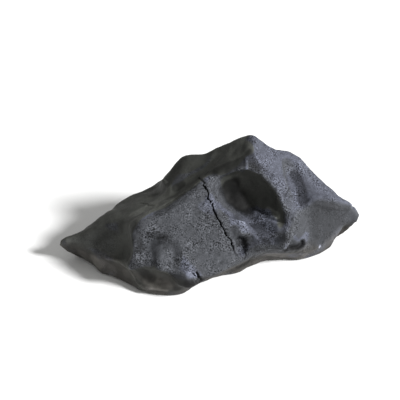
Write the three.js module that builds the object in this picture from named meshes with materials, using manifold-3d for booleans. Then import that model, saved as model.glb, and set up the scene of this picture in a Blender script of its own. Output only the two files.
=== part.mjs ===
// A stony meteorite about 100 mm long: one natural stone, dark with fusion crust.
// It broke up in flight and was then shaped by the hot air, so broad facets meet in softened
// ridges, and rounded scoops, the thumbprints, are pressed into them.
//
// The stone is written as a field: negative inside, positive outside, and about the distance to its
// surface in millimetres. The field starts from the lines along which the facets meet, and scoops
// and a crack are taken out of it. Triangles are then laid on its surface, finer where it bends.
//
// Frame: millimetres, +X along the stone's length, +Y away from its broad front face, +Z up.
import * as THREE from "three";
import { ImprovedNoise } from "three/addons/math/ImprovedNoise.js";
import Module from "manifold-3d";

const LENGTH = 100; // of the finished stone, along X
const LUMP_SOFTNESS = 3; // blend radius at the feet of lumps
const FOOT_SOFTNESS = 1.5; // blend radius round the flat that the stone rests on
// Waves of the surface: their height, their width and where in the noise they start.
const UNEVENNESS = [
  { height: 0.6, width: 11, start: 4.5 },
  { height: 0.2, width: 4, start: 9.5 },
];

const LEFT_TIP = [-53, -3.5, 8];
const RIGHT_TIP = [54.5, 8, 9.8];

// The lines along which the facets meet. Each runs from the left tip to the right tip, and they
// follow one another round the stone: under the front, up it, over the top and down the back. Those
// of the sole lie below the ground, where the stone is cut off flat.
const LINES = {
  sole_front: [
    [-43, 1, -3], [-38.5, -5, -3], [-35.5, -12, -3], [-30, -16, -3], [-24.5, -19.2, -3],
    [-19.5, -19.6, -3], [-14.5, -21.5, -3], [-10, -21.5, -3], [-6.5, -19, -3], [-3, -15, -3],
    [1.5, -10.5, -3], [6, -10.5, -3], [10.5, -10, -3], [12.5, -6, -3], [15.5, -2.5, -3],
    [20.5, 1, -3], [25.5, 0.5, -3], [31.5, 0, -3], [37, 3, -3], [41.5, 8, -3], [42.5, 12.5, -3],
  ],
  low_front: [
    [-44.5, -4.5, 8.5], [-39.5, -7.5, 8], [-34.5, -12, 7.5], [-29, -16, 9], [-26, -19, 7.5],
    [-23, -21.5, 5], [-19.5, -23, 3.5], [-14.5, -24, 3.5], [-9, -23.5, 3.5], [-4, -17.5, 2],
    [1.5, -14, 1.5], [6, -12, 3.5], [11.5, -9.5, 4.5], [17, -7.5, 6.5], [25, -6.5, 6], [31, -6.5, 6],
    [37.5, -0.5, 3.5], [42.5, 4.5, 3.5], [45, 9, 8.5],
  ],
  front_edge: [
    [-43, -6, 9.5], [-37, -9, 11], [-32.5, -12, 12], [-30, -16, 12], [-28.5, -19.5, 11.5],
    [-20.5, -23, 11.5], [-16.5, -25, 11], [-14, -26, 9.5], [-9, -26, 9.5], [-6, -26.5, 8],
    [-4, -26, 7], [-1.5, -25, 8.2], [1.5, -24, 9], [5.5, -21.5, 10], [9.5, -19, 11],
    [13.5, -17, 12.5], [17, -15.5, 14], [21, -13.5, 13], [26, -13, 12], [30.5, -12, 11.5],
    [33, -7.5, 8], [37.5, -2, 5], [43, 3, 5.5], [46, 6.3, 8.5], [50, 8, 10.3],
  ],
  middle_front: [
    [-43, -4.5, 11], [-37, -6.5, 14], [-31.5, -9, 16], [-28, -12.5, 16], [-25, -18.5, 19.5],
    [-19.5, -20.5, 18], [-16, -17.5, 18], [-12, -20, 16.5], [-6.5, -20, 14.5], [-1, -20, 13.5],
    [4.5, -18, 14.5], [9.5, -16, 15.5], [13, -13.5, 14.5], [16.5, -14, 16], [21, -12, 15.5],
    [26, -13.5, 16], [29.5, -12.5, 15], [32.5, -9.5, 12.5], [36, -3, 11], [41.5, 2, 11.5], [46.5, 6, 12],
  ],
  upper_front: [
    [-42, -3, 12], [-35.5, -4, 15], [-29.5, -6, 18], [-23.5, -14.5, 22.5], [-17.5, -13.5, 22.5],
    [-11.5, -11, 23.5], [-5, -8.5, 24.5], [0.5, -7.5, 25.5], [4.5, -6, 26], [11, -6.5, 28],
    [16.5, -2.5, 34.5], [20, -4.5, 30.5], [22.5, -7, 26], [25, -9.5, 20.5], [28, -7, 21],
    [30.5, -2.5, 21], [35.5, -1.5, 22], [42, 3, 18.5], [48, 7, 16],
  ],
  main_ridge: [
    [-42, -2.5, 12], [-34.5, -2.5, 15.5], [-29.5, -4, 18.5], [-23.5, -8, 21.5], [-19.5, -10, 23.5],
    [-14.5, -9.5, 25], [-10, -7, 27], [-5, -4, 31], [-1.5, -3, 32.5], [4, -1.5, 35.5], [9, -2.5, 37],
    [12, -1.5, 39], [13, 1.5, 41], [15.5, 0, 37.5], [21.5, 2, 33.5], [27, 4, 31], [29.5, 2, 27],
    [33, 5.5, 25], [37.5, 5.5, 22.5], [42.5, 6.5, 19], [48, 8, 16.8],
  ],
  crest: [
    [-46.5, -2.5, 10], [-42, -1.5, 11], [-37.5, 1, 14], [-33.5, 3, 16.4], [-26.5, 5, 18.6],
    [-20, 7.5, 20.5], [-17, 8.5, 21], [-16.5, 9.5, 24.5], [-13.5, 11, 27.5], [-10, 12, 32],
    [-8, 12.5, 33.5], [-1.5, 12, 33.8], [2, 11, 36.5], [7, 9.5, 39.7], [13, 8, 43], [14.5, 8, 42.8],
    [17.5, 9, 39.5], [22, 11, 36], [26.5, 12.5, 34], [30, 13, 32], [33, 12, 29], [36.5, 11, 25],
    [40.5, 10, 21], [44.5, 9.5, 18], [48.5, 9, 16.6], [49.8, 9, 15.6], [49.8, 9, 14.2],
  ],
  back_slope: [
    [-44, 1, 9], [-36, 7, 13], [-27, 13, 17], [-18, 19, 18], [-10, 17, 26], [-2, 21, 26],
    [6, 18, 31], [14, 15, 35], [22, 21, 27], [30, 16, 26], [38, 17, 17], [45, 12, 12],
  ],
  back_edge: [
    [-45, 2, 6], [-38, 9, 9], [-28, 19, 8], [-19, 23, 13], [-8, 27, 9], [3, 29, 14],
    [13, 25, 11], [24, 26, 14], [34, 20, 9], [44, 14, 9],
  ],
  sole_back: [
    [-42, 4, -3], [-34, 10, -3], [-25, 15, -3], [-14, 18, -3], [-3, 22, -3], [8, 20, -3],
    [18, 20, -3], [28, 17, -3], [36, 15, -3], [42, 13.5, -3],
  ],
};

// Lumps: the middle, the way it faces, the way it runs, then half-length, half-width, half-depth.
const LUMPS = {
  left_lobe: [[-26, -18.8, 13.8], [-0.2, -0.87, 0.4], [0.1, -0.5, -0.8], 6.5, 4.2, 2.6],
  middle_lobe: [[-16.2, -22.3, 12.5], [0, -0.8, 0.6], [0.1, -0.6, -0.8], 5.5, 3.5, 2],
  right_lobe: [[-9.2, -23, 11.5], [0.1, -0.75, 0.65], [0.3, -0.6, -0.7], 7, 4, 2],
};

// Scoops: the middle of the mouth, the way it faces, the way it runs, then its length, its width,
// its depth and the softness of its rim.
const SCOOPS = {
  great_hollow: [[13.6, -6.5, 26.5], [-0.1, -0.85, 0.52], [0.58, -0.47, -0.66], 21.5, 13.5, 8.5, 1.8],
  hollow_side: [[8, -6, 27], [0.1, -0.8, 0.6], [0.62, -0.43, -0.65], 16, 12, 7.5, 1.4],
  hollow_foot: [[19.5, -9.5, 22.5], [-0.2, -0.8, 0.6], [0.6, -0.45, -0.66], 11, 7.5, 5, 1.4],
  trough: [[18.5, -12.5, 17.4], [0, -0.8, 0.6], [0.8, -0.3, -0.5], 14, 6.5, 3.2, 1.1],
  front_pit: [[9.9, -15.2, 14.2], [0.3, -0.75, 0.55], [0.2, -0.5, -0.8], 7, 3.4, 2, 1.2],
  nose_cavity: [[28.2, -10.5, 10.3], [0.5, -0.85, -0.05], [0.88, 0.45, 0.05], 8, 4.5, 3.4, 1],
  side_groove: [[29.3, 1.5, 27.5], [0.2, -0.55, 0.8], [0.3, -0.56, -0.77], 20, 8.5, 3.4, 1.5],
  thumbprint: [[-19.5, -18.6, 19], [0, -0.7, 0.7], [1, 0, 0], 9, 6, 2, 1],
  left_lobe_groove: [[-20.2, -22, 14], [0, -0.83, 0.56], [0, -0.5, -0.85], 13, 4.5, 0.8, 1.2],
  right_lobe_groove: [[-12, -22.2, 14.5], [0, -0.75, 0.65], [0, -0.6, -0.8], 9, 4, 0.5, 1.2],
  left_side: [[-33.8, -10, 13.4], [-0.4, -0.8, 0.45], [1, -0.4, -0.3], 18.2, 13.4, 2.9, 2],
  left_foot: [[-31, -14.5, 5], [-0.55, -0.8, -0.2], [1, -0.6, 0], 18, 8, 1.2, 1],
  lobe_foot: [[-19, -23.5, 7.5], [-0.2, -0.97, -0.1], [1, -0.1, 0], 16, 7, 2.5, 1],
  ridge_pit: [[-12, -1, 26.5], [-0.5, -0.2, 0.8], [0.6, 0.3, 0.3], 7, 4, 1.5, 1.2],
  ridge_valley: [[-9, 0, 28.5], [-0.4, -0.1, 0.9], [0.8, 0.4, 0.3], 24, 8, 1.2, 1.2],
  back_bowl: [[-3, 23, 20], [-0.1, 0.85, 0.5], [1, 0.1, 0.1], 19, 14, 3, 1.5],
  back_thumbprint: [[17, 20, 25], [0.1, 0.75, 0.65], [0.7, 0.1, -0.5], 13, 9, 1.8, 1.2],
  back_hollow: [[30, 20, 17], [0.35, 0.9, 0.3], [0.9, -0.3, -0.3], 14, 10, 2, 1.8],
  shoulder_thumbprint: [[-9, 17, 28.5], [-0.3, 0.75, 0.6], [0.8, 0.3, 0], 11, 8, 1.6, 1.2],
  wing_hollow: [[-27, 15.5, 14], [-0.4, 0.8, 0.4], [0.9, 0.4, 0.1], 16, 10, 2.2, 1.5],
  wing_thumbprint: [[-37, 6.5, 12.5], [-0.5, 0.6, 0.6], [0.8, 0.5, -0.2], 10, 7, 1.3, 1.2],
  peak_thumbprint: [[20, 14, 34.5], [0.3, 0.6, 0.75], [0.7, 0.2, -0.4], 10, 7, 1.3, 1.2],
  back_foot_left: [[-16, 23, 5], [-0.3, 0.9, -0.3], [1, 0.3, 0], 15, 8, 1.8, 1],
  back_foot_right: [[14, 23.5, 5], [0, 0.9, -0.4], [1, 0, 0], 17, 8, 2, 1],
  sole_left: [[-20, -1, 0], [0, 0, -1], [0.9, -0.4, 0], 20, 13, 1.8, 1.5],
  sole_middle: [[4, 6, 0], [0, 0, -1], [0.3, 0.9, 0], 18, 12, 2.2, 1.5],
  sole_right: [[28, 9, 0], [0, 0, -1], [0.9, 0.2, 0], 13, 9, 1.5, 1.5],
  right_face: [[38, -0.5, 13], [0.55, -0.8, 0.25], [0.8, 0.5, 0.1], 18, 13, 1.1, 2.5],
};

// Cracks: the points that each one passes on its way down the front.
const CRACKS = {
  long_crack: [
    [-3, -3, 31.5], [-2, -4.5, 30], [-0.5, -5.5, 28.5], [-1, -7, 27], [0.5, -7.5, 26],
    [1, -9, 24.5], [2, -11, 22.5], [3, -12, 21.5], [4, -13, 20], [4.5, -14, 19],
    [5.5, -15, 17.5], [6.5, -15.5, 16.5], [7, -16.5, 15.5], [8, -18.5, 12.5],
  ],
  short_crack: [[-4.5, -25, 11.5], [-3.5, -26, 10.5], [-3.5, -26.5, 9.5], [-2.5, -27, 8.5]],
};
const CRACK_WIDTH = 0.5; // at the surface
const CRACK_DEPTH = 2.2;

// Triangles between two neighbouring lines: the shorter way across is taken each time.
function strip(one, other) {
  const triangles = [];
  let [i, j] = [0, 0];
  while (i < one.length - 1 || j < other.length - 1) {
    const along = i < one.length - 1 ? one[i + 1].distanceTo(other[j]) : Infinity;
    const across = j < other.length - 1 ? one[i].distanceTo(other[j + 1]) : Infinity;
    const next = along < across ? one[++i] : other[++j];
    const [a, b] = along < across ? [one[i - 1], other[j]] : [one[i], other[j - 1]];
    triangles.push(new THREE.Triangle(a, b, next));
  }
  return triangles;
}

const SMALLEST_FACET = 1e-6;
const lines = Object.values(LINES).map((line) =>
  [LEFT_TIP, ...line, RIGHT_TIP].map((point) => new THREE.Vector3(...point)));
const facets = lines
  .flatMap((line, i) => strip(line, lines[(i + 1) % lines.length]))
  .filter((facet) => facet.getArea() > SMALLEST_FACET);

// The solid angle of a facet seen from a point: over all facets it adds up to 4 pi inside the stone
// and to nothing outside it.
const [toA, toB, toC, closest] = [0, 0, 0, 0].map(() => new THREE.Vector3());
function solidAngle(p, { a, b, c }) {
  toA.subVectors(a, p);
  toB.subVectors(b, p);
  toC.subVectors(c, p);
  const [la, lb, lc] = [toA.length(), toB.length(), toC.length()];
  const below = la * lb * lc + toA.dot(toB) * lc + toB.dot(toC) * la + toC.dot(toA) * lb;
  return 2 * Math.atan2(closest.crossVectors(toB, toC).dot(toA), below);
}

function distanceToFacets(p) {
  let nearest = Infinity;
  let angle = 0;
  for (const facet of facets) {
    angle += solidAngle(p, facet);
    facet.closestPointToPoint(p, closest);
    nearest = Math.min(nearest, closest.distanceToSquared(p));
  }
  return Math.abs(angle) > 2 * Math.PI ? -Math.sqrt(nearest) : Math.sqrt(nearest);
}

// The distance is kept on a grid and blurred once, which softens every ridge and valley.
const CELL = 1.6;
const BLUR = 0.12; // share of each neighbour in the blur
const SWELL = 0.25; // given back after the blur, which wears the ridges down
const GRID_START = new THREE.Vector3(-57, -34, -7);
const GRID_COUNT = [72, 42, 36];
const gridIndex = (i, j, k) => (k * GRID_COUNT[1] + j) * GRID_COUNT[0] + i;

function filledGrid() {
  const [nx, ny, nz] = GRID_COUNT;
  const grid = new Float64Array(nx * ny * nz);
  const p = new THREE.Vector3();
  for (let k = 0; k < nz; k++)
    for (let j = 0; j < ny; j++)
      for (let i = 0; i < nx; i++) {
        p.set(i, j, k).multiplyScalar(CELL).add(GRID_START);
        grid[gridIndex(i, j, k)] = distanceToFacets(p);
      }
  return grid;
}

function blurred(grid) {
  let from = grid;
  for (const step of [1, GRID_COUNT[0], GRID_COUNT[0] * GRID_COUNT[1]]) {
    const to = from.slice();
    for (let n = step; n < from.length - step; n++)
      to[n] = BLUR * (from[n - step] + from[n + step]) + (1 - 2 * BLUR) * from[n];
    from = to;
  }
  return from;
}
const grid = blurred(filledGrid());

// The distance to the softened facets at a point, between the eight grid points round it.
function base(p) {
  const at = ["x", "y", "z"].map((axis, n) => {
    const t = (p[axis] - GRID_START[axis]) / CELL;
    return Math.min(Math.max(t, 0), GRID_COUNT[n] - 1.001);
  });
  const [i, j, k] = at.map(Math.floor);
  const [u, v, w] = at.map((t) => t - Math.floor(t));
  const mix = (n) => {
    const near = grid[n] * (1 - u) + grid[n + 1] * u;
    const far = grid[n + GRID_COUNT[0]] * (1 - u) + grid[n + GRID_COUNT[0] + 1] * u;
    return near * (1 - v) + far * v;
  };
  return mix(gridIndex(i, j, k)) * (1 - w) + mix(gridIndex(i, j, k + 1)) * w;
}

// The larger of two values, rounded over where they meet.
const softMax = (a, b, r) => {
  const h = Math.max(r - Math.abs(a - b), 0) / r;
  return Math.max(a, b) + (h * h * r) / 4;
};
const softMin = (a, b, r) => -softMax(-a, -b, r);

// An ellipsoid as a function of a point: about the distance to its surface.
function ellipsoid(centre, runs, faces, radii) {
  const z = faces.clone().normalize();
  const x = runs.clone().addScaledVector(z, -runs.dot(z)).normalize();
  const y = new THREE.Vector3().crossVectors(z, x);
  const q = new THREE.Vector3();
  return (p) => {
    q.subVectors(p, centre);
    const [a, b, c] = [q.dot(x) / radii.x, q.dot(y) / radii.y, q.dot(z) / radii.z];
    const k0 = Math.hypot(a, b, c);
    const k1 = Math.hypot(a / radii.x, b / radii.y, c / radii.z);
    return k1 < 1e-9 ? -radii.z : (k0 * (k0 - 1)) / k1;
  };
}

// A lump is fused on to the stone.
function lump([at, faces, runs, ...half]) {
  const [centre, way, out, radii] = [at, runs, faces, half].map((v) => new THREE.Vector3(...v));
  return ellipsoid(centre, way, out, radii);
}

// A scoop is the bowl of the ellipsoid that has this mouth and depth.
function scoop([at, faces, runs, length, width, depth, softness]) {
  const out = new THREE.Vector3(...faces).normalize();
  const radius = (width * width / 4 + depth * depth) / (2 * depth);
  const centre = new THREE.Vector3(...at).addScaledVector(out, radius - depth);
  const radii = new THREE.Vector3((radius * length) / width, radius, radius);
  return { softness, bowl: ellipsoid(centre, new THREE.Vector3(...runs), out, radii) };
}

const lumps = Object.values(LUMPS).map(lump);
const scoops = Object.values(SCOOPS).map(scoop);
const noise = new ImprovedNoise();

function field(p) {
  let f = base(p) - SWELL;
  for (const one of lumps) f = softMin(f, one(p), LUMP_SOFTNESS);
  for (const { height, width, start } of UNEVENNESS)
    f += height * noise.noise(p.x / width, p.y / width, p.z / width + start);
  for (const { bowl, softness } of scoops) f = softMax(f, -bowl(p), softness);
  return softMax(f, -p.z, FOOT_SOFTNESS);
}

const LEAST_SLOPE = 0.2; // keeps a step to the surface short where the field is nearly level

function gradient(p, step = 0.02) {
  const q = p.clone();
  const slope = new THREE.Vector3();
  for (const axis of ["x", "y", "z"]) {
    q[axis] = p[axis] + step;
    const ahead = field(q);
    q[axis] = p[axis] - step;
    slope[axis] = (ahead - field(q)) / (2 * step);
    q[axis] = p[axis];
  }
  return slope;
}

function toSurface(p, steps = 3) {
  for (let i = 0; i < steps; i++) {
    const slope = gradient(p);
    p.addScaledVector(slope, -field(p) / Math.max(slope.lengthSq(), LEAST_SLOPE));
  }
  return p;
}

const BOX = [56, 34, 46]; // half-sizes of the lattice, which is centred on the origin
const CUBE = 5; // side of the cubes of the lattice that finds the surface
const HALVINGS = 18; // steps that find where an edge of the lattice crosses the surface
const CHORD = 0.085; // an edge that leaves the surface by more than this is split
const SHORTEST = 1; // halves of an edge are never shorter than this
const DEEPEST = 4; // splits of one edge and its halves, at most

// The surface as a mesh: a lattice of cubes is filled with tetrahedra, each between two neighbouring
// cube middles and one edge of the face that they share, and every tetrahedron that the surface
// passes through gives one or two triangles.
function wrapped() {
  const points = [];
  const index = [];
  const values = new Map();
  const crossings = new Map();
  const place = (n) => new THREE.Vector3(n[0], n[1], n[2]).multiplyScalar(CUBE / 2);
  const value = (n) => {
    const key = n.join();
    if (!values.has(key)) values.set(key, field(place(n)));
    return values.get(key);
  };
  const crossing = (inner, outer) => {
    const key = inner.join() + " " + outer.join();
    if (!crossings.has(key)) {
      const [near, far] = [place(inner), place(outer)];
      const middle = new THREE.Vector3();
      for (let i = 0; i < HALVINGS; i++) {
        middle.addVectors(near, far).multiplyScalar(0.5);
        (field(middle) < 0 ? near : far).copy(middle);
      }
      crossings.set(key, points.push(middle) - 1);
    }
    return crossings.get(key);
  };
  const triangle = (a, b, c, out) => {
    const [ab, ac] = [b, c].map((n) => points[n].clone().sub(points[a]));
    index.push(...(ab.cross(ac).dot(out) > 0 ? [a, b, c] : [a, c, b]));
  };
  const tetrahedron = (corners) => {
    const inner = corners.filter((n) => value(n) < 0);
    const outer = corners.filter((n) => value(n) >= 0);
    if (!inner.length || !outer.length) return;
    const out = place(outer[0]).sub(place(inner[0]));
    const cut = inner.flatMap((n) => outer.map((m) => crossing(n, m)));
    triangle(cut[0], cut[1], cut[2], out);
    if (cut.length === 4) triangle(cut[1], cut[2], cut[3], out);
  };
  const steps = BOX.map((half) => 2 * Math.ceil(half / CUBE) + 1);
  for (let i = -steps[0]; i <= steps[0]; i += 2)
    for (let j = -steps[1]; j <= steps[1]; j += 2)
      for (let k = -steps[2]; k <= steps[2]; k += 2)
        for (let axis = 0; axis < 3; axis++) {
          const middle = [i, j, k];
          const next = middle.slice();
          next[axis] += 2;
          const rim = [[1, 1], [-1, 1], [-1, -1], [1, -1]].map(([u, v]) => {
            const corner = middle.slice();
            corner[axis] += 1;
            corner[(axis + 1) % 3] += u;
            corner[(axis + 2) % 3] += v;
            return corner;
          });
          rim.forEach((corner, n) => tetrahedron([middle, next, corner, rim[(n + 1) % 4]]));
        }
  return { points, index };
}

const HELD = 0.4; // share of its old place that a point keeps as the triangles are evened out

// Evens out the triangles: each point moves to the middle of its neighbours, then to the surface.
function relaxed({ points, index }, passes) {
  const around = points.map(() => new Set());
  for (let i = 0; i < index.length; i += 3)
    for (const [s, e] of [[0, 1], [1, 2], [2, 0]]) {
      around[index[i + s]].add(index[i + e]);
      around[index[i + e]].add(index[i + s]);
    }
  for (let pass = 0; pass < passes; pass++) {
    const moved = points.map((p, i) => {
      const mean = new THREE.Vector3();
      around[i].forEach((n) => mean.add(points[n]));
      return mean.divideScalar(around[i].size).lerp(p, HELD);
    });
    moved.forEach((p, i) => points[i].copy(toSurface(p, 2)));
  }
  return { points, index };
}

// Splits the edges that leave the surface, so that triangles are small where it bends. An edge is
// judged by its two ends alone, so the triangles on its two sides agree.
function refined({ points, index }) {
  const halves = new Map();
  const levels = points.map(() => 0);
  const half = (s, e) => {
    const key = Math.min(s, e) + "_" + Math.max(s, e);
    if (!halves.has(key)) {
      const middle = points[s].clone().add(points[e]).multiplyScalar(0.5);
      const off = Math.abs(field(middle));
      const level = Math.max(levels[s], levels[e]) + 1;
      const long = points[s].distanceTo(points[e]) > 2 * SHORTEST;
      const needed = long && off > CHORD && level < DEEPEST;
      if (needed) levels[points.length] = level;
      halves.set(key, needed ? { at: points.push(toSurface(middle)) - 1, off } : null);
    }
    return halves.get(key);
  };
  const out = [];
  const split = (a, b, c) => {
    let worst = null;
    for (const [s, e, o] of [[a, b, c], [b, c, a], [c, a, b]]) {
      const found = half(s, e);
      if (found && (!worst || found.off > worst.off)) worst = { ...found, s, e, o };
    }
    if (!worst) out.push(a, b, c);
    else {
      split(worst.s, worst.at, worst.o);
      split(worst.at, worst.e, worst.o);
    }
  };
  for (let i = 0; i < index.length; i += 3) split(index[i], index[i + 1], index[i + 2]);
  return { points, index: out };
}

// A crack is a wedge along its route: open at the surface, closed at its depth and at both ends.
function crack(route) {
  const rise = 1; // how far the wedge stands clear of the surface
  const spread = (CRACK_WIDTH / 2) * (1 + rise / CRACK_DEPTH);
  const middle = route.map((point) => toSurface(new THREE.Vector3(...point)));
  const points = [];
  const rings = middle.map((p, i) => {
    const out = gradient(p).normalize();
    const top = p.clone().addScaledVector(out, rise);
    const [before, after] = [middle[i - 1], middle[i + 1]];
    if (!before || !after) return [points.push(top) - 1];
    const side = after.clone().sub(before).cross(out).setLength(spread);
    const bottom = p.clone().addScaledVector(out, -CRACK_DEPTH);
    return [top.clone().add(side), top.clone().sub(side), bottom].map((q) => points.push(q) - 1);
  });
  const index = [];
  for (let i = 1; i < rings.length; i++)
    for (let s = 0; s < 3; s++) {
      const [a, b] = [rings[i - 1], rings[i]].map((ring) => ring[s % ring.length]);
      const [c, d] = [rings[i - 1], rings[i]].map((ring) => ring[(s + 1) % ring.length]);
      if (a !== c) index.push(a, b, c);
      if (b !== d) index.push(c, b, d);
    }
  return { points, index };
}

const wasm = await Module();
wasm.setup();

function solid({ points, index }) {
  const vertProperties = new Float32Array(points.flatMap((p) => p.toArray()));
  const triVerts = new Uint32Array(index);
  return new wasm.Manifold(new wasm.Mesh({ numProp: 3, vertProperties, triVerts }));
}

let mesh = relaxed(wrapped(), 6);
mesh = relaxed(refined(mesh), 3);
mesh = relaxed(refined(mesh), 2);

let body = solid(mesh);
for (const route of Object.values(CRACKS)) body = body.subtract(solid(crack(route)));
const { vertProperties, triVerts } = body.getMesh();

const geometry = new THREE.BufferGeometry();
geometry.setAttribute("position", new THREE.BufferAttribute(vertProperties, 3));
geometry.setIndex(new THREE.BufferAttribute(triVerts, 1));
geometry.computeBoundingBox();
const { min, max } = geometry.boundingBox;
const scale = LENGTH / (max.x - min.x);
geometry.translate(-(min.x + max.x) / 2, -(min.y + max.y) / 2, -min.z);
geometry.scale(scale, scale, scale);

const stone = new THREE.Mesh(
  geometry,
  new THREE.MeshStandardMaterial({ color: 0x4b4b50, roughness: 0.85, metalness: 0 }),
);
stone.name = "stone";

const meteorite = new THREE.Group();
meteorite.add(stone);
export default meteorite;
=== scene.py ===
import math

import bmesh
import bpy
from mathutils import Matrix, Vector, bvhtree, kdtree, noise


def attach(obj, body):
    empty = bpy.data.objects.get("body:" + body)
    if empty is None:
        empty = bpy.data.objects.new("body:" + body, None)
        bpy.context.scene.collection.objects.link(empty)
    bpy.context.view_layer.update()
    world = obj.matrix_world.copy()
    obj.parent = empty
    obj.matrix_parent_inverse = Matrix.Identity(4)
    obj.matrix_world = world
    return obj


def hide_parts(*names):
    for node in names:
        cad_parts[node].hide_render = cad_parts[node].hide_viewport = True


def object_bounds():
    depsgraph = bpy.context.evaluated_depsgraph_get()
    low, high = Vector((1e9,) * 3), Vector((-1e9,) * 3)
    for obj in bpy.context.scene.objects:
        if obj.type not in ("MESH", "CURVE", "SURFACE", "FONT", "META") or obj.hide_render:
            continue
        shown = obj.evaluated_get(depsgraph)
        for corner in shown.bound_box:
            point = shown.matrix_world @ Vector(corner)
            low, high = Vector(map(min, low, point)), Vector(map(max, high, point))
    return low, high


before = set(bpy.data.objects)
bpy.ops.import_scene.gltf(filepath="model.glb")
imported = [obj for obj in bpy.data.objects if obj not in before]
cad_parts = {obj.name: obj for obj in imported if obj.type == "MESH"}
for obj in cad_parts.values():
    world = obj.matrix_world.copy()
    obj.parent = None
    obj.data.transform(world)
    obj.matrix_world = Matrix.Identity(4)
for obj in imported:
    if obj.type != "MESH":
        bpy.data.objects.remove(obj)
cad_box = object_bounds()

# --- The stone -----------------------------------------------------------------------------------
# A stony meteorite: one natural stone, cracked on its front face, which got its black crust when hot
# air melted its surface in flight. The solid is remeshed fine and smoothed, its cracks are cut again,
# and thin ridges, waves, grains and pits are worn into it.
MM = 0.001
FINEST = 0.43 * MM
SAME_POINT = 0.001 * MM
SMOOTHING_PASSES = 5
BROAD_PASSES = 25  # they leave only the broad shape
FOOT = 1.5 * MM  # the wear fades out over this height, so that the stone keeps its flat rest

# The cracks. They are found in the solid by their floors, the only sharp folds that it has.
CRACK_FLOOR = math.radians(120)
SOLID_CRACK_DEPTH = 2.17 * MM
CRACK_STEP = 0.1 * MM
OFF_SURFACE = 0.7 * MM  # a crack's points that are farther off than this are moved onto the surface
CRACK_BAND = 1.0 * MM  # the mesh is finer this far from a crack
CRACK_HALF_WIDTH = 0.28 * MM
CRACK_BOTTOM = 0.3  # the share of its width that is at full depth
CRACK_DEPTH = 1.3 * MM
# painted shade in the crack: how much darker its floor is painted
CRACK_PAINTED_SHADE = 0.92
CRACK_BENDS = (0.9 * MM, 0.35 * MM)  # how long and how wide its bends are
CRACK_SWELLS = 2 * MM  # it is wider and narrower by turns over this length
CRACK_SWELLING = 0.35  # by this share of its width

# Waves and grains of the surface: how high they stand and how wide they are.
WAVES = [(0.30 * MM, 6 * MM), (0.16 * MM, 2.6 * MM)]
GRAINS = [(0.10 * MM, 1.25 * MM), (0.07 * MM, 0.8 * MM)]
GRAIN_START = Vector((9, 0, 0))  # the grains use another part of the noise than the waves
SMOOTH_GRAINS = 0.45  # the share of their height that is left where the crust froze smooth

# Pits, where gas bubbled out of the melt. Their radii are shares of their spacing.
PIT_SPACING = 2.4 * MM
PIT_DEPTH = 0.25 * MM
PIT_BOTTOM = 0.05
PIT_RIM = 0.38
CELL_MIX = 7  # spreads the cells' points, so that neighbours draw different numbers
NO_PIT = 0.45  # the share of the cells without a pit
SMOOTH_PITS = 0.3  # the share of their depth that is left where the crust froze smooth

# Where the crust froze rough, where it is painted paler as if lit and darker as if shaded, and its
# violet cast. Each pair says where this begins and where it is full.
GRITTY_SIDE = Vector((0.55, -0.75, 0.35)).normalized()
GRITTY = (0.2, 0.5)  # how squarely a face looks to that side
UPWARD = (0.3, 0.75)  # how squarely a face looks up
BEYOND_PEAK = (6 * MM, 12 * MM)  # along X
RIGHT_END = (30 * MM, 34 * MM)  # along X
PAINTED_SLOPE_LIGHT = 0.4  # upward faces of the slope beyond the peak are painted this much paler, as painted light
PAINTED_END_SHADE = 0.42  # the steep faces of the right end are painted this much darker, as painted shade
PALE = (1.05, 1.35)  # of the shade
VIOLET = (0, 0.4)  # of the grit
LEAST_VIOLET = 0.6  # the share of the violet cast where the grit isn't painted pale

# Thin ridges where the melt ran and froze, and furrows: their height, their half-width and the
# points that they pass, in millimetres.
RIDGES = {
    "left_foot": (0.55, 0.8, [(-34, -12, 7), (-29, -15, 8), (-27, -17.5, 7.5), (-25.5, -18.5, 6),
                              (-24, -20, 3.5), (-22, -22, 2.5), (-19, -23.5, 3), (-14, -24.5, 3)]),
    "peak_rib": (0.5, 0.7, [(11.1, -2, 38.3), (11.1, -3.2, 37.2), (11.3, -3.7, 35.6)]),
    "hollow_lip": (0.9, 1.6, [(14.1, -3.1, 18.9), (16.6, -4.1, 19.1), (18.8, -5.4, 19.3),
                              (20.7, -7, 19.6)]),
    "lip_foot": (1.2, 2.6, [(16, -5.5, 17.3), (19, -7.5, 17.3), (22, -10, 17.3)]),
    "right_edge": (0.5, 1.2, [(30, -2.5, 21.5), (36, 0, 20.5), (41, 3, 17), (46.5, 6, 15.5)]),
    "tip_notch": (-0.9, 0.9, [(48.5, 10, 16), (48.6, 7, 15)]),
    "wing_hairline": (-0.4, 0.35, [(-23, 1, 20), (-22, 0, 20.5), (-20.5, -1.5, 21), (-20, -3, 21.5),
                                   (-18.5, -5, 22.5)]),
    "main_ridge_chips": (-0.4, 0.6, [(-19, -10, 22.5), (-15, -7.5, 24.5), (-10.5, -5.5, 26.5),
                                     (-7, -5, 28.5), (-4, -4, 30.5)]),
    "nose_hook": (-1.1, 0.9, [(26.1, -8.5, 8.9), (27.8, -8, 8.6), (29.2, -7.2, 8.7), (29.8, -5.9, 9),
                              (29.6, -5.6, 9.6)]),
    "nose_line": (-0.5, 0.6, [(23.4, -10.5, 9.2), (24.8, -9.5, 9), (26.5, -8.4, 8.8)]),
    "crack_end": (-0.5, 0.4, [(6.9, -16.5, 14.5), (7, -17.2, 13.8), (7.5, -18.1, 12.9),
                              (8.3, -18.2, 12.3)]),
    "short_crack": (-0.9, 0.6, [(-4.5, -25.1, 10.4), (-3.6, -25.4, 8.7), (-3, -24.9, 6.9)]),
    "crack_start": (-0.5, 0.45, [(-3.9, 0.9, 29.7), (-3.1, -3.2, 31.2), (-2.1, -4.6, 30.9)]),
    "shoulder_step": (0.8, 1.2, [(-15.4, 6.6, 25), (-14.6, 4.8, 25.5)]),
}
RIDGE_BENDS = (1.5 * MM, 0.3 * MM)  # how long and how wide their bends are
LINE_STEP = 0.3 * MM
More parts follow.
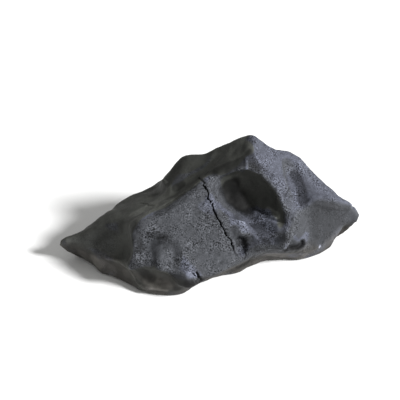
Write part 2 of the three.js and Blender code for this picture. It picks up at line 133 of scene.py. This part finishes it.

# Painted shade and painted highlights, with a few real marks such as a pale fleck: where the crust is
# painted darker, as shade falls in hollows, crevices, cracks and under overhangs, or paler, as light
# catches lips, ribs, bands and rims. By what factor, how far from a line this reaches and the points of
# the line, in millimetres.
PAINTED_LIGHT_AND_MARKS = {
    # The great hollow and its lip: painted shade inside, painted highlights on the lip and rims.
    "great_hollow": (0.85, 6, [(9, 0, 29), (11, -2, 27), (14, -4, 22.5), (19, -5.5, 23)]),
    "hollow_left": (0.12, 3.4, [(6.8, 0.5, 26.6), (6.5, 0.5, 25.5), (7.5, -0.2, 23.3),
                                (9.3, -0.8, 22.2)]),
    "hollow_left_wall": (0.45, 2.6, [(6.7, 0.6, 24.4), (8.3, -0.5, 22.4), (10.2, -1.4, 20.7)]),
    "hollow_deep": (0.55, 3.8, [(9.6, 0, 22.9), (11.5, -0.9, 20.8)]),
    "hollow_floor": (0.32, 2.4, [(8.3, -0.1, 23), (9.9, -1, 21.3), (11.9, -2.1, 19.6)]),
    "hollow_top": (0.32, 2.2, [(2, -1.9, 33.9), (4.2, -2.3, 34.9), (6.7, -2.5, 36), (9.6, -2.2, 37.4)]),
    "over_hollow": (0.75, 1.5, [(5.8, -3, 34.6), (8, -3.2, 35.5), (9.9, -3.3, 36.3)]),
    "hollow_upper_rim": (1.45, 1.2, [(4.7, 0.7, 27.8), (6.3, 0.9, 29.1), (7.9, 1.5, 29.7)]),
    "hollow_rim_left": (0.55, 1.8, [(3.7, 0.1, 25.5), (5, -0.4, 23.2), (7.3, -1.3, 21.4)]),
    "hollow_rim": (0.8, 1.6, [(16.5, -3, 34), (19, -4, 31.5)]),
    "rim_top": (0.7, 1.3, [(16.6, -1.9, 34.7), (17.9, -2.2, 33.4)]),
    "hollow_lip": (1.15, 1.1, [(14.1, -3.1, 18.9), (16.6, -4.1, 19.1), (18.8, -5.4, 19.3),
                               (20.7, -7, 19.6)]),
    "lip_top": (2.3, 1.2, [(18.6, -2.9, 19.7), (19.9, -4.2, 19.7), (21.3, -6.5, 19.8)]),
    "lip_end": (1.8, 1.3, [(19.7, -6.7, 18.8), (21.3, -8.3, 18.8)]),
    "hollow_foot": (0.42, 1.5, [(8.9, -2.1, 20.4), (11.2, -3.1, 19.1), (13.1, -4.4, 18.1)]),
    # The peak, the shoulder and the main ridge: a painted highlight on the peak's rib and painted shade
    # beside it.
    "peak": (0.5, 2, [(12.3, 5, 41.5), (11.6, 2.8, 40.5), (10.9, 0.8, 39)]),
    "peak_top": (0.75, 1.6, [(12.6, 6, 41.9), (13.6, 4.5, 41)]),
    "peak_rib": (2.4, 0.55, [(11.1, -2, 38.3), (11.1, -3.2, 37.2), (11.3, -3.7, 35.6)]),
    "beside_rib": (0.36, 1.7, [(12.3, -0, 39.1), (12.8, -1.6, 38.1), (13.4, -2.4, 36.7),
                               (14.7, -2.5, 35.4)]),
    "rib_side": (0.72, 2.2, [(11.5, -2, 38.3), (13.1, -2.8, 36.2)]),
    "upper_left": (0.75, 2.2, [(5.6, 1, 36.8), (7.5, 1.3, 37.7), (9.4, 2.5, 39.3)]),
    "shoulder": (0.6, 5, [(-11, 5, 29), (-8, 7, 31.5), (-4, 8.5, 33)]),
    "shoulder_pale": (1.3, 2.5, [(1.8, 5.6, 34.3), (-1.1, 3.5, 31.8), (-2.4, -2.8, 31.6)]),
    "crest_dark": (0.6, 1.3, [(-1.2, -0.1, 31.9), (1.4, -2.7, 33.1)]),
    "main_ridge_chips": (0.55, 1.4, [(-16.7, -11.5, 23.8), (-13.5, -9.6, 24.8), (-10.7, -7.8, 26),
                                     (-8.2, -6.4, 27.7), (-5.6, -5.2, 29.2)]),
    "ridge_light": (1.25, 2.2, [(-2.2, -8.9, 24.7), (0.4, -9.4, 23.9)]),
    # The left wing: painted light on its top and painted shade on its front edge.
    "wing_top": (1.8, 2.6, [(-12.8, 0.2, 25.1), (-15.1, 0.2, 23.2), (-17.7, -2.4, 22.4),
                            (-20.8, -4.5, 21.4), (-24, -6.1, 20.5)]),
    "wing_low": (1.5, 2.5, [(-13.6, -6.1, 24.8), (-16.8, -6.9, 23.4), (-19.9, -10.1, 23.2),
                            (-23, -11.8, 22.1), (-24.6, -12.5, 21)]),
    "wing_dark": (0.38, 1.6, [(-11.4, 0.6, 26.1), (-9.6, 1, 26.9)]),
    "left_wing": (0.72, 3, [(-39.9, -5.1, 12.7), (-36.8, -6.9, 12.3), (-33.2, -6.7, 14.8),
                            (-29.8, -7.9, 16.7)]),
    "left_corner": (0.5, 2, [(-24.6, -13.3, 20.8), (-23.4, -17, 20.8), (-22.4, -19.8, 19.6),
                             (-21.4, -21.9, 17.6)]),
    # The front face: painted shade in its grooves, pits, trough and cracks, and a painted highlight on
    # the band where it rounds into the hollow.
    "painted_lit_band": (1.5, 2.5, [(0.4, -7.3, 26), (2.7, -5.5, 22.2), (5.6, -6.3, 19.9), (8.3, -12.3, 20.8),
                             (9.9, -13.1, 19.5)]),
    "trough": (0.42, 2.4, [(14.5, -8.5, 16.5), (16.5, -10.5, 15), (19, -12, 13.5), (21.5, -12.5, 12.5)]),
    "trough_foot": (0.36, 2.6, [(12.1, -14.3, 15), (13.7, -15.1, 13.9), (15.3, -15.2, 13.3),
                                (17.3, -14.1, 13.8)]),
    "front_pit": (0.65, 1.6, [(9.9, -14, 16.5), (10.6, -13.8, 15.5), (11.3, -14, 13.7)]),
    "pit_left": (0.5, 1.6, [(7.7, -13.5, 19), (8.3, -14.4, 17.3), (9, -13.4, 14.4)]),
    "below_pit": (0.8, 2.3, [(9.6, -14, 13), (9.3, -15.4, 11.6), (9.6, -18, 10.6)]),
    "front_foot": (0.85, 2.2, [(1, -24, 9.5), (5.5, -21, 9.8), (9.5, -18, 10), (14, -16, 11)]),
    "thumbprint": (0.5, 1.2, [(-19.7, -16.7, 18.8), (-16.9, -16.8, 18.8), (-14.4, -17.4, 18.6)]),
    "lobe_groove": (0.68, 1.4, [(-17.5, -18.3, 17.2), (-17.3, -21.3, 16.1), (-17.1, -22.5, 14.7)]),
    "second_groove": (0.7, 1.3, [(-11.2, -19.4, 17.5), (-10.3, -21.1, 16), (-10.3, -22.7, 14),
                                 (-10.9, -24.1, 12.3)]),
    "lobe_shadow": (0.7, 1.6, [(-15.6, -18.2, 17.8), (-15, -20.4, 17), (-14.9, -21.7, 16)]),
    "lobe_cleft": (0.65, 2.2, [(-19.4, -23, 11.6), (-17.1, -24.5, 11.9)]),
    "left_lobe": (0.75, 2, [(-21.9, -19.2, 17), (-20.9, -20.5, 15.6)]),
    "middle_lobe": (0.72, 1.8, [(-15.3, -17.6, 18.2), (-14, -19.4, 17.5)]),
    "right_lobe": (1.3, 2.2, [(-9.5, -23, 13), (-7, -25, 11), (-4.5, -26, 9)]),
    "crack_start": (0.3, 0.45, [(-3.9, 0.9, 29.7), (-3.1, -3.2, 31.2), (-2.1, -4.6, 30.9)]),
    "crack_end": (0.35, 0.4, [(6.9, -16.5, 14.5), (7, -17.2, 13.8), (7.5, -18.1, 12.9),
                              (8.3, -18.2, 12.3)]),
    "short_crack": (0.15, 0.36, [(-4.5, -25.1, 10.4), (-3.6, -25.4, 8.7), (-3, -24.9, 6.9)]),
    # The nose and the right slope: painted shadow under the nose, in its hook and in the side groove.
    "nose_hook": (0.28, 1.2, [(24.4, -9.7, 9.1), (26.1, -8.5, 8.9), (27.8, -8, 8.6), (29.2, -7.2, 8.7),
                              (29.8, -5.9, 9), (29.6, -5.6, 9.6)]),
    "nose_line": (0.4, 0.7, [(23.4, -10.5, 9.2), (24.8, -9.5, 9)]),
    "nose_shadow": (0.6, 1, [(21.2, -12, 13.9), (23.4, -12.7, 14.6), (25, -12.3, 14.5)]),
    "nose_side": (0.55, 2, [(24.7, -9.3, 20.9), (24.3, -11.3, 18.8), (24.6, -12.8, 16)]),
    "nose_tip": (1.4, 0.7, [(26.8, -9.3, 13.8), (28.1, -7.1, 10.9), (28.5, -7.1, 9.7)]),
    "nose_cavity": (0.55, 1.3, [(26.1, -8.2, 10.4), (27.8, -7.4, 9.5)]),
    "below_shadow": (1.3, 1.4, [(20.9, -13.3, 12.7), (23.1, -13.5, 13)]),
    "hook_side": (1.7, 1.7, [(30.1, -6.1, 10.7), (31.2, -5.3, 11.3)]),
    "side_groove": (0.42, 1.9, [(27.4, 5.9, 27.9), (28.7, 4.7, 26.3), (29.7, 2.6, 24.4),
                                (30, 0.5, 22.7), (30, -2, 21.9)]),
    "groove_side": (0.78, 1.6, [(30, 5.3, 27.1), (30.9, 4.4, 25.7), (31.7, 2.7, 24.4)]),
    "slope_foot": (0.8, 3, [(35, 0.5, 22.2), (39.3, 2.7, 19.1)]),
    "slope_dark": (0.82, 2.5, [(32.2, 2.9, 24.3), (32.6, -1, 22)]),
    "right_tip": (1.5, 2.5, [(48.5, 7.5, 14.5), (47, 6, 12)]),
    # The foot: painted shade under the lobes and painted light along its rims.
    "left_foot": (1.7, 2.5, [(-37, -8, 4), (-32, -12, 3)]),
    "left_foot_line": (1.6, 0.6, [(-34, -12, 7), (-29, -15, 8), (-27, -17.5, 7.5), (-25.5, -18.5, 6),
                                  (-24, -20, 3.5), (-22, -22, 2.5), (-19, -23.5, 3), (-14, -24.5, 3)]),
    "left_rim": (1.4, 2.6, [(-42.4, -4.6, 3.4), (-39.6, -6.5, 2.9), (-36.3, -10.3, 4.4)]),
    "left_pan": (1.25, 2.6, [(-34.2, -8.9, 10.1), (-30.5, -11, 9.9)]),
    "left_edge": (1.4, 1.6, [(-27.2, -16.1, 4.1), (-24.8, -18.4, 4.2)]),
    "tip_foot": (1.5, 1.7, [(-18.5, -23.5, 4.8), (-13.5, -25, 4.8)]),
    "front_tip": (0.45, 1.6, [(-7.1, -27.7, 7.7), (-5.6, -27.1, 8), (-4, -25.7, 8)]),
    "under_left_lobe": (0.45, 1.9, [(-24.1, -22.7, 11.5), (-22.3, -21.7, 9.1), (-20.5, -21.1, 7),
                                    (-18.9, -21.7, 5.9)]),
    "under_right_lobe": (0.35, 2.2, [(-11, -25.5, 9.3), (-8.5, -26, 8.2), (-6, -26.3, 7),
                                     (-3, -26.3, 5.5), (-1, -25, 4)]),
    "lobe_foot": (1.3, 2, [(-17, -22, 6.2), (-14.1, -23.3, 5.6)]),
    "short_foot": (2.1, 1.7, [(-6.5, -26.6, 9.9), (-4.4, -26.2, 8.7)]),
    "sole_rim": (0.6, 1.6, [(-10.7, -24.6, 4.3), (-7.8, -27.8, 7.2)]),
    "pit_rim": (0.7, 1.8, [(7, -12.5, 3), (10.6, -10.1, 2.9), (12.9, -8.4, 3.4)]),
    "under_front": (0.35, 1.8, [(9.6, -11.5, 4), (11.6, -9.8, 4.1), (13.4, -12, 7.3)]),
    "right_foot": (2, 3, [(20, -9, 5), (30, -4.5, 3), (38, -1, 3), (44.5, 3, 6)]),
    "right_foot_top": (1.25, 2.2, [(33, -5.3, 7), (35.5, -3.1, 7.2)]),
    "fleck": (5, 0.4, [(36, -3, 5.7), (36.4, -3, 6)]),
}

# Where the crust froze as smooth as glass on the gritty side: how smooth, how far from a line this
# reaches and the points of the line, in millimetres.
GLAZED = {
    "great_hollow": (1, 5.5, [(7, 1, 28.7), (9.6, 1.1, 25), (12.9, 0.6, 23.5), (16.1, 0.4, 25.3),
                              (17.5, -1.5, 23.5)]),
    "hollow_back": (1, 4, [(12.8, 1.2, 30.5), (16.7, 0, 27.5), (19.3, -2.3, 24), (20.3, -4, 22.8)]),
    "upper_left": (1, 4.5, [(10, 2.5, 39.5), (5, 0.5, 36), (-0.5, 1, 32.5), (-5, 0.5, 29.5),
                            (-10, -1, 27), (-15, -3.5, 24.5)]),
    "left_pocket": (0.9, 6, [(-44, -4, 10), (-36, -7, 12), (-31, -9, 11), (-26, -15, 9), (-18, -22, 7),
                             (-10, -25, 6)]),
    "right_face": (0.55, 8, [(34, -5, 15), (40, 1, 13), (45, 4, 12)]),
    "above_hollow": (1, 2.6, [(3, -2, 34), (6, -2, 36), (9, -1, 38)]),
    "hollow_left": (1, 3.5, [(6.5, 0.5, 26), (7.5, -0.2, 23.3), (10.5, -1, 21.5)]),
    "shoulder": (1, 6, [(-12.6, 8.5, 28.3), (-9.3, 7.4, 31.1), (-5.4, 8.3, 32.9)]),
}
PATCH_WHOLE = 0.6  # the share of its reach at which a patch of painted light and shade, a mark or a glazed patch starts to fade
GLAZE_GONE = 0.9
LIGHT_AND_MARK_GONE = 1.2
PATCH_RAGGED = 0.2  # the share of its reach by which its border strays
SEED = 3  # fixes the bends of cracks and ridges and the borders of patches


def smoothstep(low, high, value):
    """0 up to low, 1 from high on, and a smooth rise between them."""
    t = min(max((value - low) / (high - low), 0), 1)
    return t * t * (3 - 2 * t)


def smoothed(bm, passes):
    for _ in range(passes):
        bmesh.ops.smooth_vert(bm, verts=bm.verts, factor=0.5, use_axis_x=True, use_axis_y=True,
                              use_axis_z=True)
    bm.normal_update()


def nearby(points):
    """Finds the nearest of these points."""
    tree = kdtree.KDTree(len(points))
    for n, point in enumerate(points):
        tree.insert(point, n)
    tree.balance()
    return tree


def between(start, end, step):
    """Points from start to end, this far apart."""
    count = math.ceil((end - start).length / step)
    return [start.lerp(end, n / count) for n in range(count + 1)]


def laid(route):
    """Finds the nearest point of a line that is laid on the surface."""
    corners = [surface.find_nearest(Vector(p) * MM)[0] for p in route]
    return nearby([p for a, b in zip(corners, corners[1:]) for p in between(a, b, LINE_STEP)])


def wobble(p, width, reach):
    """Moves a point sideways by up to this reach, so that a line looks broken and not drawn."""
    return p + reach * noise.noise_vector(p / width)


def pit(p):
    """A round pit in some of the cells of a Voronoi pattern: 1 at its middle, 0 outside it."""
    distances, points = noise.voronoi(p / PIT_SPACING)
    if noise.cell(points[0] * CELL_MIX) < NO_PIT:
        return 0
    return 1 - smoothstep(PIT_BOTTOM, PIT_RIM, distances[0])


noise.seed_set(SEED)
bm = bmesh.new()
bm.from_mesh(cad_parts["stone"].data)
bmesh.ops.remove_doubles(bm, verts=bm.verts, dist=SAME_POINT)
crack_line = []
for edge in bm.edges:
    if edge.is_manifold and edge.calc_face_angle() > CRACK_FLOOR:
        rise = sum((f.normal for f in edge.link_faces), Vector()).normalized() * SOLID_CRACK_DEPTH
        crack_line += between(edge.verts[0].co + rise, edge.verts[1].co + rise, CRACK_STEP)
coarse_mesh = bpy.data.meshes.new("coarse")
bm.to_mesh(coarse_mesh)
bm.free()
coarse = bpy.data.objects.new("coarse", coarse_mesh)
bpy.context.scene.collection.objects.link(coarse)
remesh = coarse.modifiers.new("remesh", "REMESH")
remesh.mode = "VOXEL"
remesh.voxel_size = FINEST
bm = bmesh.new()
bm.from_object(coarse, bpy.context.evaluated_depsgraph_get())
bpy.data.objects.remove(coarse)
smoothed(bm, SMOOTHING_PASSES)

surface = bvhtree.BVHTree.FromBMesh(bm)
on_surface = [surface.find_nearest(p)[0] for p in crack_line]
cracks = nearby([p if (p - q).length < OFF_SURFACE else q for p, q in zip(crack_line, on_surface)])
near = {v for v in bm.verts if cracks.find(v.co)[2] < CRACK_BAND}
band = [e for e in bm.edges if e.verts[0] in near and e.verts[1] in near]
bmesh.ops.subdivide_edges(bm, edges=band, cuts=2, use_grid_fill=True)
bmesh.ops.triangulate(bm, faces=[f for f in bm.faces if len(f.verts) > 4])
bm.normal_update()

# A smoother copy shows two things: which way a face looks on the whole, and where the surface bulges out
# of it, which is where the crust is worn. The crust froze rough on the gritty side, apart from the
# glazed patches. Painted light makes the slope beyond the peak paler than anywhere else, painted shade
# darkens the steep right end, and the listed patches paint shade into hollows, crevices and undercuts
# and highlights onto lips, ribs and rims. The crust has a violet cast where it is rough, strongest where
# the painted light is brightest, which is partly the lamp's cool light painted on.
relief = bm.verts.layers.float.new("relief")
edge_wear = bm.verts.layers.float.new("edge_wear")
grit = bm.verts.layers.float.new("grit")
shade = bm.verts.layers.float.new("shade")
violet = bm.verts.layers.float.new("violet")
painted_light_and_marks = [(factor, reach * MM, laid(route)) for factor, reach, route in PAINTED_LIGHT_AND_MARKS.values()]
glazed = [(amount, reach * MM, laid(route)) for amount, reach, route in GLAZED.values()]
worn = bm.copy()
smoothed(worn, BROAD_PASSES)
for vert, under in zip(bm.verts, worn.verts):
    p = vert.co
    vert[edge_wear] = (p - under.co).dot(under.normal) / MM
    vert[grit] = smoothstep(*GRITTY, under.normal.dot(GRITTY_SIDE))
    for amount, reach, line in glazed:
        away = line.find(wobble(p, reach, PATCH_RAGGED * reach))[2]
        vert[grit] *= 1 - amount * (1 - smoothstep(PATCH_WHOLE * reach, GLAZE_GONE * reach, away))
    upward = smoothstep(*UPWARD, under.normal.z)
    # Painted light and shade: upward faces of the slope beyond the peak are painted paler, as if lit,
    # and steep faces at the right end darker, as if shaded.
    lit_slope = upward * smoothstep(*BEYOND_PEAK, p.x)
    shaded_right_end = (1 - upward) * smoothstep(*RIGHT_END, p.x)
    vert[shade] = (1 + PAINTED_SLOPE_LIGHT * lit_slope) * (1 - PAINTED_END_SHADE * shaded_right_end)
    # The listed patches: painted shade in hollows, crevices and under overhangs, painted highlights on
    # lips, ribs and rims, and a few real marks such as a pale fleck.
    for factor, reach, line in painted_light_and_marks:
        away = line.find(wobble(p, reach, PATCH_RAGGED * reach))[2]
        faded = smoothstep(PATCH_WHOLE * reach, LIGHT_AND_MARK_GONE * reach, away)
        vert[shade] *= 1 + (factor - 1) * (1 - faded)
    # The violet cast grows where the painted light is brightest: cool lamp light painted on.
    painted_palest = max(lit_slope, smoothstep(*PALE, vert[shade]))
    vert[violet] = smoothstep(*VIOLET, vert[grit]) * (LEAST_VIOLET + (1 - LEAST_VIOLET) * painted_palest)
worn.free()

ridges = [(height * MM, half_width * MM, laid(route)) for height, half_width, route in RIDGES.values()]
moves = []
for vert in bm.verts:
    p = vert.co
    wave = sum(height * noise.noise(p / width) for height, width in WAVES)
    grain = sum(height * noise.noise(p / width + GRAIN_START) for height, width in GRAINS)
    grain *= SMOOTH_GRAINS + (1 - SMOOTH_GRAINS) * vert[grit]
    hole = PIT_DEPTH * pit(p) * (SMOOTH_PITS + (1 - SMOOTH_PITS) * vert[grit])
    raised = 0
    beside = wobble(p, *RIDGE_BENDS)
    for height, half_width, line in ridges:
        raised += height * (1 - smoothstep(0, half_width, line.find(beside)[2]))
    away = cracks.find(wobble(p, *CRACK_BENDS))[2]
    half_width = CRACK_HALF_WIDTH * (1 + CRACK_SWELLING * noise.noise(p / CRACK_SWELLS))
    split = 1 - smoothstep(CRACK_BOTTOM * half_width, half_width, away)
    vert[relief] = (grain - hole) / PIT_DEPTH
    # Painted shade in the crack, on top of its cut.
    vert[shade] *= 1 - CRACK_PAINTED_SHADE * split
    firm = smoothstep(0, FOOT, p.z)
    moves.append((firm * (wave + grain - hole + raised) - CRACK_DEPTH * split) * vert.normal)
for vert, move in zip(bm.verts, moves):
    vert.co += move
    vert.co.z = max(vert.co.z, 0)
for face in bm.faces:
    face.smooth = True

skin_mesh = bpy.data.meshes.new("stone_skin")
bm.to_mesh(skin_mesh)
bm.free()
skin = bpy.data.objects.new("stone_skin", skin_mesh)
bpy.context.scene.collection.objects.link(skin)


def linear(hex_colour):
    """An sRGB hex value as linear red, green, blue and alpha."""
    parts = [int(hex_colour[i:i + 2], 16) / 255 for i in (1, 3, 5)]
    return tuple(c / 12.92 if c <= 0.04045 else ((c + 0.055) / 1.055) ** 2.4 for c in parts) + (1,)


def add(kind, settings=None, **inputs):
    """Adds a node to the crust: its settings by name, then its inputs, each a number, a colour, a
    socket, or a node whose first output is used. An input without a name is given as _ and its place."""
    node = crust.node_tree.nodes.new(kind)
    for name, value in (settings or {}).items():
        setattr(node, name, value)
    for name, value in inputs.items():
        socket = node.inputs[int(name[1:]) if name[1:].isdigit() else name.replace("_", " ")]
        if isinstance(value, bpy.types.Node):
            value = value.outputs[0]
        if isinstance(value, bpy.types.NodeSocket):
            crust.node_tree.links.new(value, socket)
        else:
            socket.default_value = value
    return node


# Fusion crust: silicate rock melted in flight and frozen to a thin glaze, matt and close to black. Where
# the melt froze rough, the eye sees grey grains with a violet cast, and where it froze smooth it is
# slightly green; this split goes with the lit and the shaded side, so it is partly painted light: cool
# lamp light and warm shade. Where it froze smooth it is also darker through painted shade, and dust has
# left the foot dull brown.
BLOTCH_WIDTH = 13 * MM
DUST_LINE = 9.5 * MM
FULL_DUST = 6 * MM
DUST_PATCH_WIDTH = 7 * MM
GRAIN_WIDTH = 0.42 * MM
GRAIN_PATCH_WIDTH = 5 * MM
GRAIN_HEIGHT = 0.15 * MM
crust = bpy.data.materials.new("fusion_crust")
crust.use_nodes = True
crust.node_tree.nodes.clear()
place = add("ShaderNodeTexCoord").outputs["Object"]
# shade: painted shade and painted highlights, with a few real marks
shade_here = add("ShaderNodeAttribute", {"attribute_name": "shade"}).outputs["Fac"]
grit_here = add("ShaderNodeAttribute", {"attribute_name": "grit"}).outputs["Fac"]
violet_here = add("ShaderNodeAttribute", {"attribute_name": "violet"}).outputs["Fac"]
relief_here = add("ShaderNodeAttribute", {"attribute_name": "relief"}).outputs["Fac"]
wear_here = add("ShaderNodeAttribute", {"attribute_name": "edge_wear"}).outputs["Fac"]

# The smooth crust and the rough one, partly shaded and lit copies of one crust, both in wide faint
# blotches.
cast = add("ShaderNodeMix", {"data_type": "RGBA"}, _0=violet_here, _6=linear("#3d3e3b"),
           _7=linear("#3c3e46"))
blotches = add("ShaderNodeTexNoise", Vector=place, Scale=1 / BLOTCH_WIDTH, Detail=6, Roughness=0.65)
blotch_factor = add("ShaderNodeMapRange", Value=blotches, From_Min=0.35, From_Max=0.65, To_Min=0.88,
                    To_Max=1.14)

# Brown dust low down, patchy and thickest near the ground, where it fills the grain.
height_up = add("ShaderNodeSeparateXYZ", Vector=place).outputs["Z"]
low_down = add("ShaderNodeMapRange", Value=height_up, From_Min=DUST_LINE, From_Max=FULL_DUST, To_Max=0.9)
patches = add("ShaderNodeTexNoise", Vector=place, Scale=1 / DUST_PATCH_WIDTH, Detail=2)
patchy = add("ShaderNodeMapRange", Value=patches, From_Min=0.3, From_Max=0.5)
dust = add("ShaderNodeMath", {"operation": "MULTIPLY"}, _0=low_down, _1=patchy)
colour = add("ShaderNodeMix", {"data_type": "RGBA"}, _0=dust, _6=cast.outputs[2],
             _7=linear("#3d3b38")).outputs[2]

# Mineral grains are 0.1 to 0.4 mm wide. All of them are drawn as coarse as the widest, because finer
# ones don't show. They stand out in patches, and less where the crust is smooth or dusty.
grains = add("ShaderNodeTexNoise", Vector=place, Scale=1 / GRAIN_WIDTH, Detail=2, Roughness=0.6)
contrast = add("ShaderNodeMapRange", Value=grit_here, To_Min=0.16, To_Max=1.0)
grain_patches = add("ShaderNodeTexNoise", Vector=place, Scale=1 / GRAIN_PATCH_WIDTH, Detail=3)
patchiness = add("ShaderNodeMapRange", Value=grain_patches, From_Min=0.4, From_Max=0.6, To_Min=0.3,
                 To_Max=1.5)
contrast = add("ShaderNodeMath", {"operation": "MULTIPLY"}, _0=contrast, _1=patchiness)
clean = add("ShaderNodeMapRange", Value=dust, To_Min=1.0, To_Max=0.25)
contrast = add("ShaderNodeMath", {"operation": "MULTIPLY"}, _0=contrast, _1=clean)
speckle = add("ShaderNodeMapRange", Value=grains, From_Min=0.3, From_Max=0.7, To_Min=-1.0, To_Max=1.0)
grain_factor = add("ShaderNodeMath", {"operation": "MULTIPLY_ADD"}, _0=speckle, _1=contrast, _2=1.0)

# Pits and hollows between the grains are painted dark, as painted shade, and what bulges out is worn
# pale.
pit_shade_and_wear_factor = add("ShaderNodeMapRange", Value=relief_here, From_Min=-1.2, From_Max=0.6, To_Min=0.35,
                    To_Max=1.25)
wear_factor = add("ShaderNodeMapRange", Value=wear_here, From_Min=0.02, From_Max=0.35, To_Min=1.0,
                  To_Max=1.3)
# The painted light and shade, the blotches, the grains, the painted shade in pits with the paler grain
# tops, and the edge wear scale the colour.
for factor in (shade_here, blotch_factor, grain_factor, pit_shade_and_wear_factor, wear_factor):
    colour = add("ShaderNodeVectorMath", {"operation": "SCALE"}, _0=colour, Scale=factor)

fineness = add("ShaderNodeMath", {"operation": "MAXIMUM"}, _0=contrast, _1=0.35)
height = add("ShaderNodeMath", {"operation": "MULTIPLY"}, _0=grains, _1=fineness)
bumps = add("ShaderNodeBump", Strength=0.7, Distance=GRAIN_HEIGHT, Height=height)
roughness = add("ShaderNodeMapRange", Value=grit_here, To_Min=0.65, To_Max=0.85)
shader = add("ShaderNodeBsdfPrincipled", Base_Color=colour, Roughness=roughness, IOR=1.5,
             Specular_IOR_Level=0.2, Normal=bumps)
add("ShaderNodeOutputMaterial", Surface=shader)
skin_mesh.materials.append(crust)
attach(skin, "root")
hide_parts("stone")

# --- The floor -----------------------------------------------------------------------------------
# A sheet of pale matt paper that the stone lies on. It is one flat face, wide enough to fill every
# view, and it is not part of the object.
FLOOR_LENGTHS = 20  # half its side, in lengths of the stone
low, high = cad_box
length = high.x - low.x
floor_mesh = bpy.data.meshes.new("floor")
bm = bmesh.new()
bmesh.ops.create_grid(bm, x_segments=1, y_segments=1, size=FLOOR_LENGTHS * length)
bm.to_mesh(floor_mesh)
bm.free()
paper = bpy.data.materials.new("white_paper")
paper.use_nodes = True
paper.node_tree.nodes["Principled BSDF"].inputs["Base Color"].default_value = linear("#f2f2f2")
paper.node_tree.nodes["Principled BSDF"].inputs["Roughness"].default_value = 0.9
floor_mesh.materials.append(paper)
floor = bpy.data.objects.new("floor", floor_mesh)
bpy.context.scene.collection.objects.link(floor)

# --- The light -----------------------------------------------------------------------------------
# One large soft lamp, far off on the right and a third of the way up, and a weak even light from all
# round.
LAMP_WAY = Vector((0.72, -0.38, 0.5)).normalized()
LAMP_LENGTHS = 6  # its width, in lengths of the stone
LAMP_FAR = 30  # how far off it stands, in lengths of the stone
centre = (low + high) / 2
lamp = bpy.data.lights.new("key_lamp", "AREA")
lamp.shape = "DISK"
lamp.size = LAMP_LENGTHS * length
lamp.energy = 190
lamp.color = linear("#fafafa")[:3]
key_lamp = bpy.data.objects.new("key_lamp", lamp)
key_lamp.location = centre + LAMP_FAR * length * LAMP_WAY
key_lamp.rotation_euler = (-LAMP_WAY).to_track_quat("-Z", "Y").to_euler()
bpy.context.scene.collection.objects.link(key_lamp)

world = bpy.data.worlds.new("studio")
world.use_nodes = True
world.node_tree.nodes["Background"].inputs["Color"].default_value = linear("#f8f8f6")
world.node_tree.nodes["Background"].inputs["Strength"].default_value = 0.4
bpy.context.scene.world = world
bpy.context.scene.view_settings.view_transform = "Standard"

# --- The camera ----------------------------------------------------------------------------------
# It looks at the stone's front from above, square on, through a long lens that shows it with little
# perspective.
TILT = math.radians(30)
AIM = Vector((-3.5, 3.4, -1.1)) * MM  # from the middle of the stone
CAMERA_FAR = 3.657  # how far off it stands, in lengths of the stone
camera_data = bpy.data.cameras.new("camera")
camera_data.lens = 100
camera = bpy.data.objects.new("camera", camera_data)
bpy.context.scene.collection.objects.link(camera)
bpy.context.scene.camera = camera
way = Vector((0, -math.cos(TILT), math.sin(TILT)))
camera.location = centre + AIM + CAMERA_FAR * length * way
camera.rotation_euler = (math.pi / 2 - TILT, 0, 0)
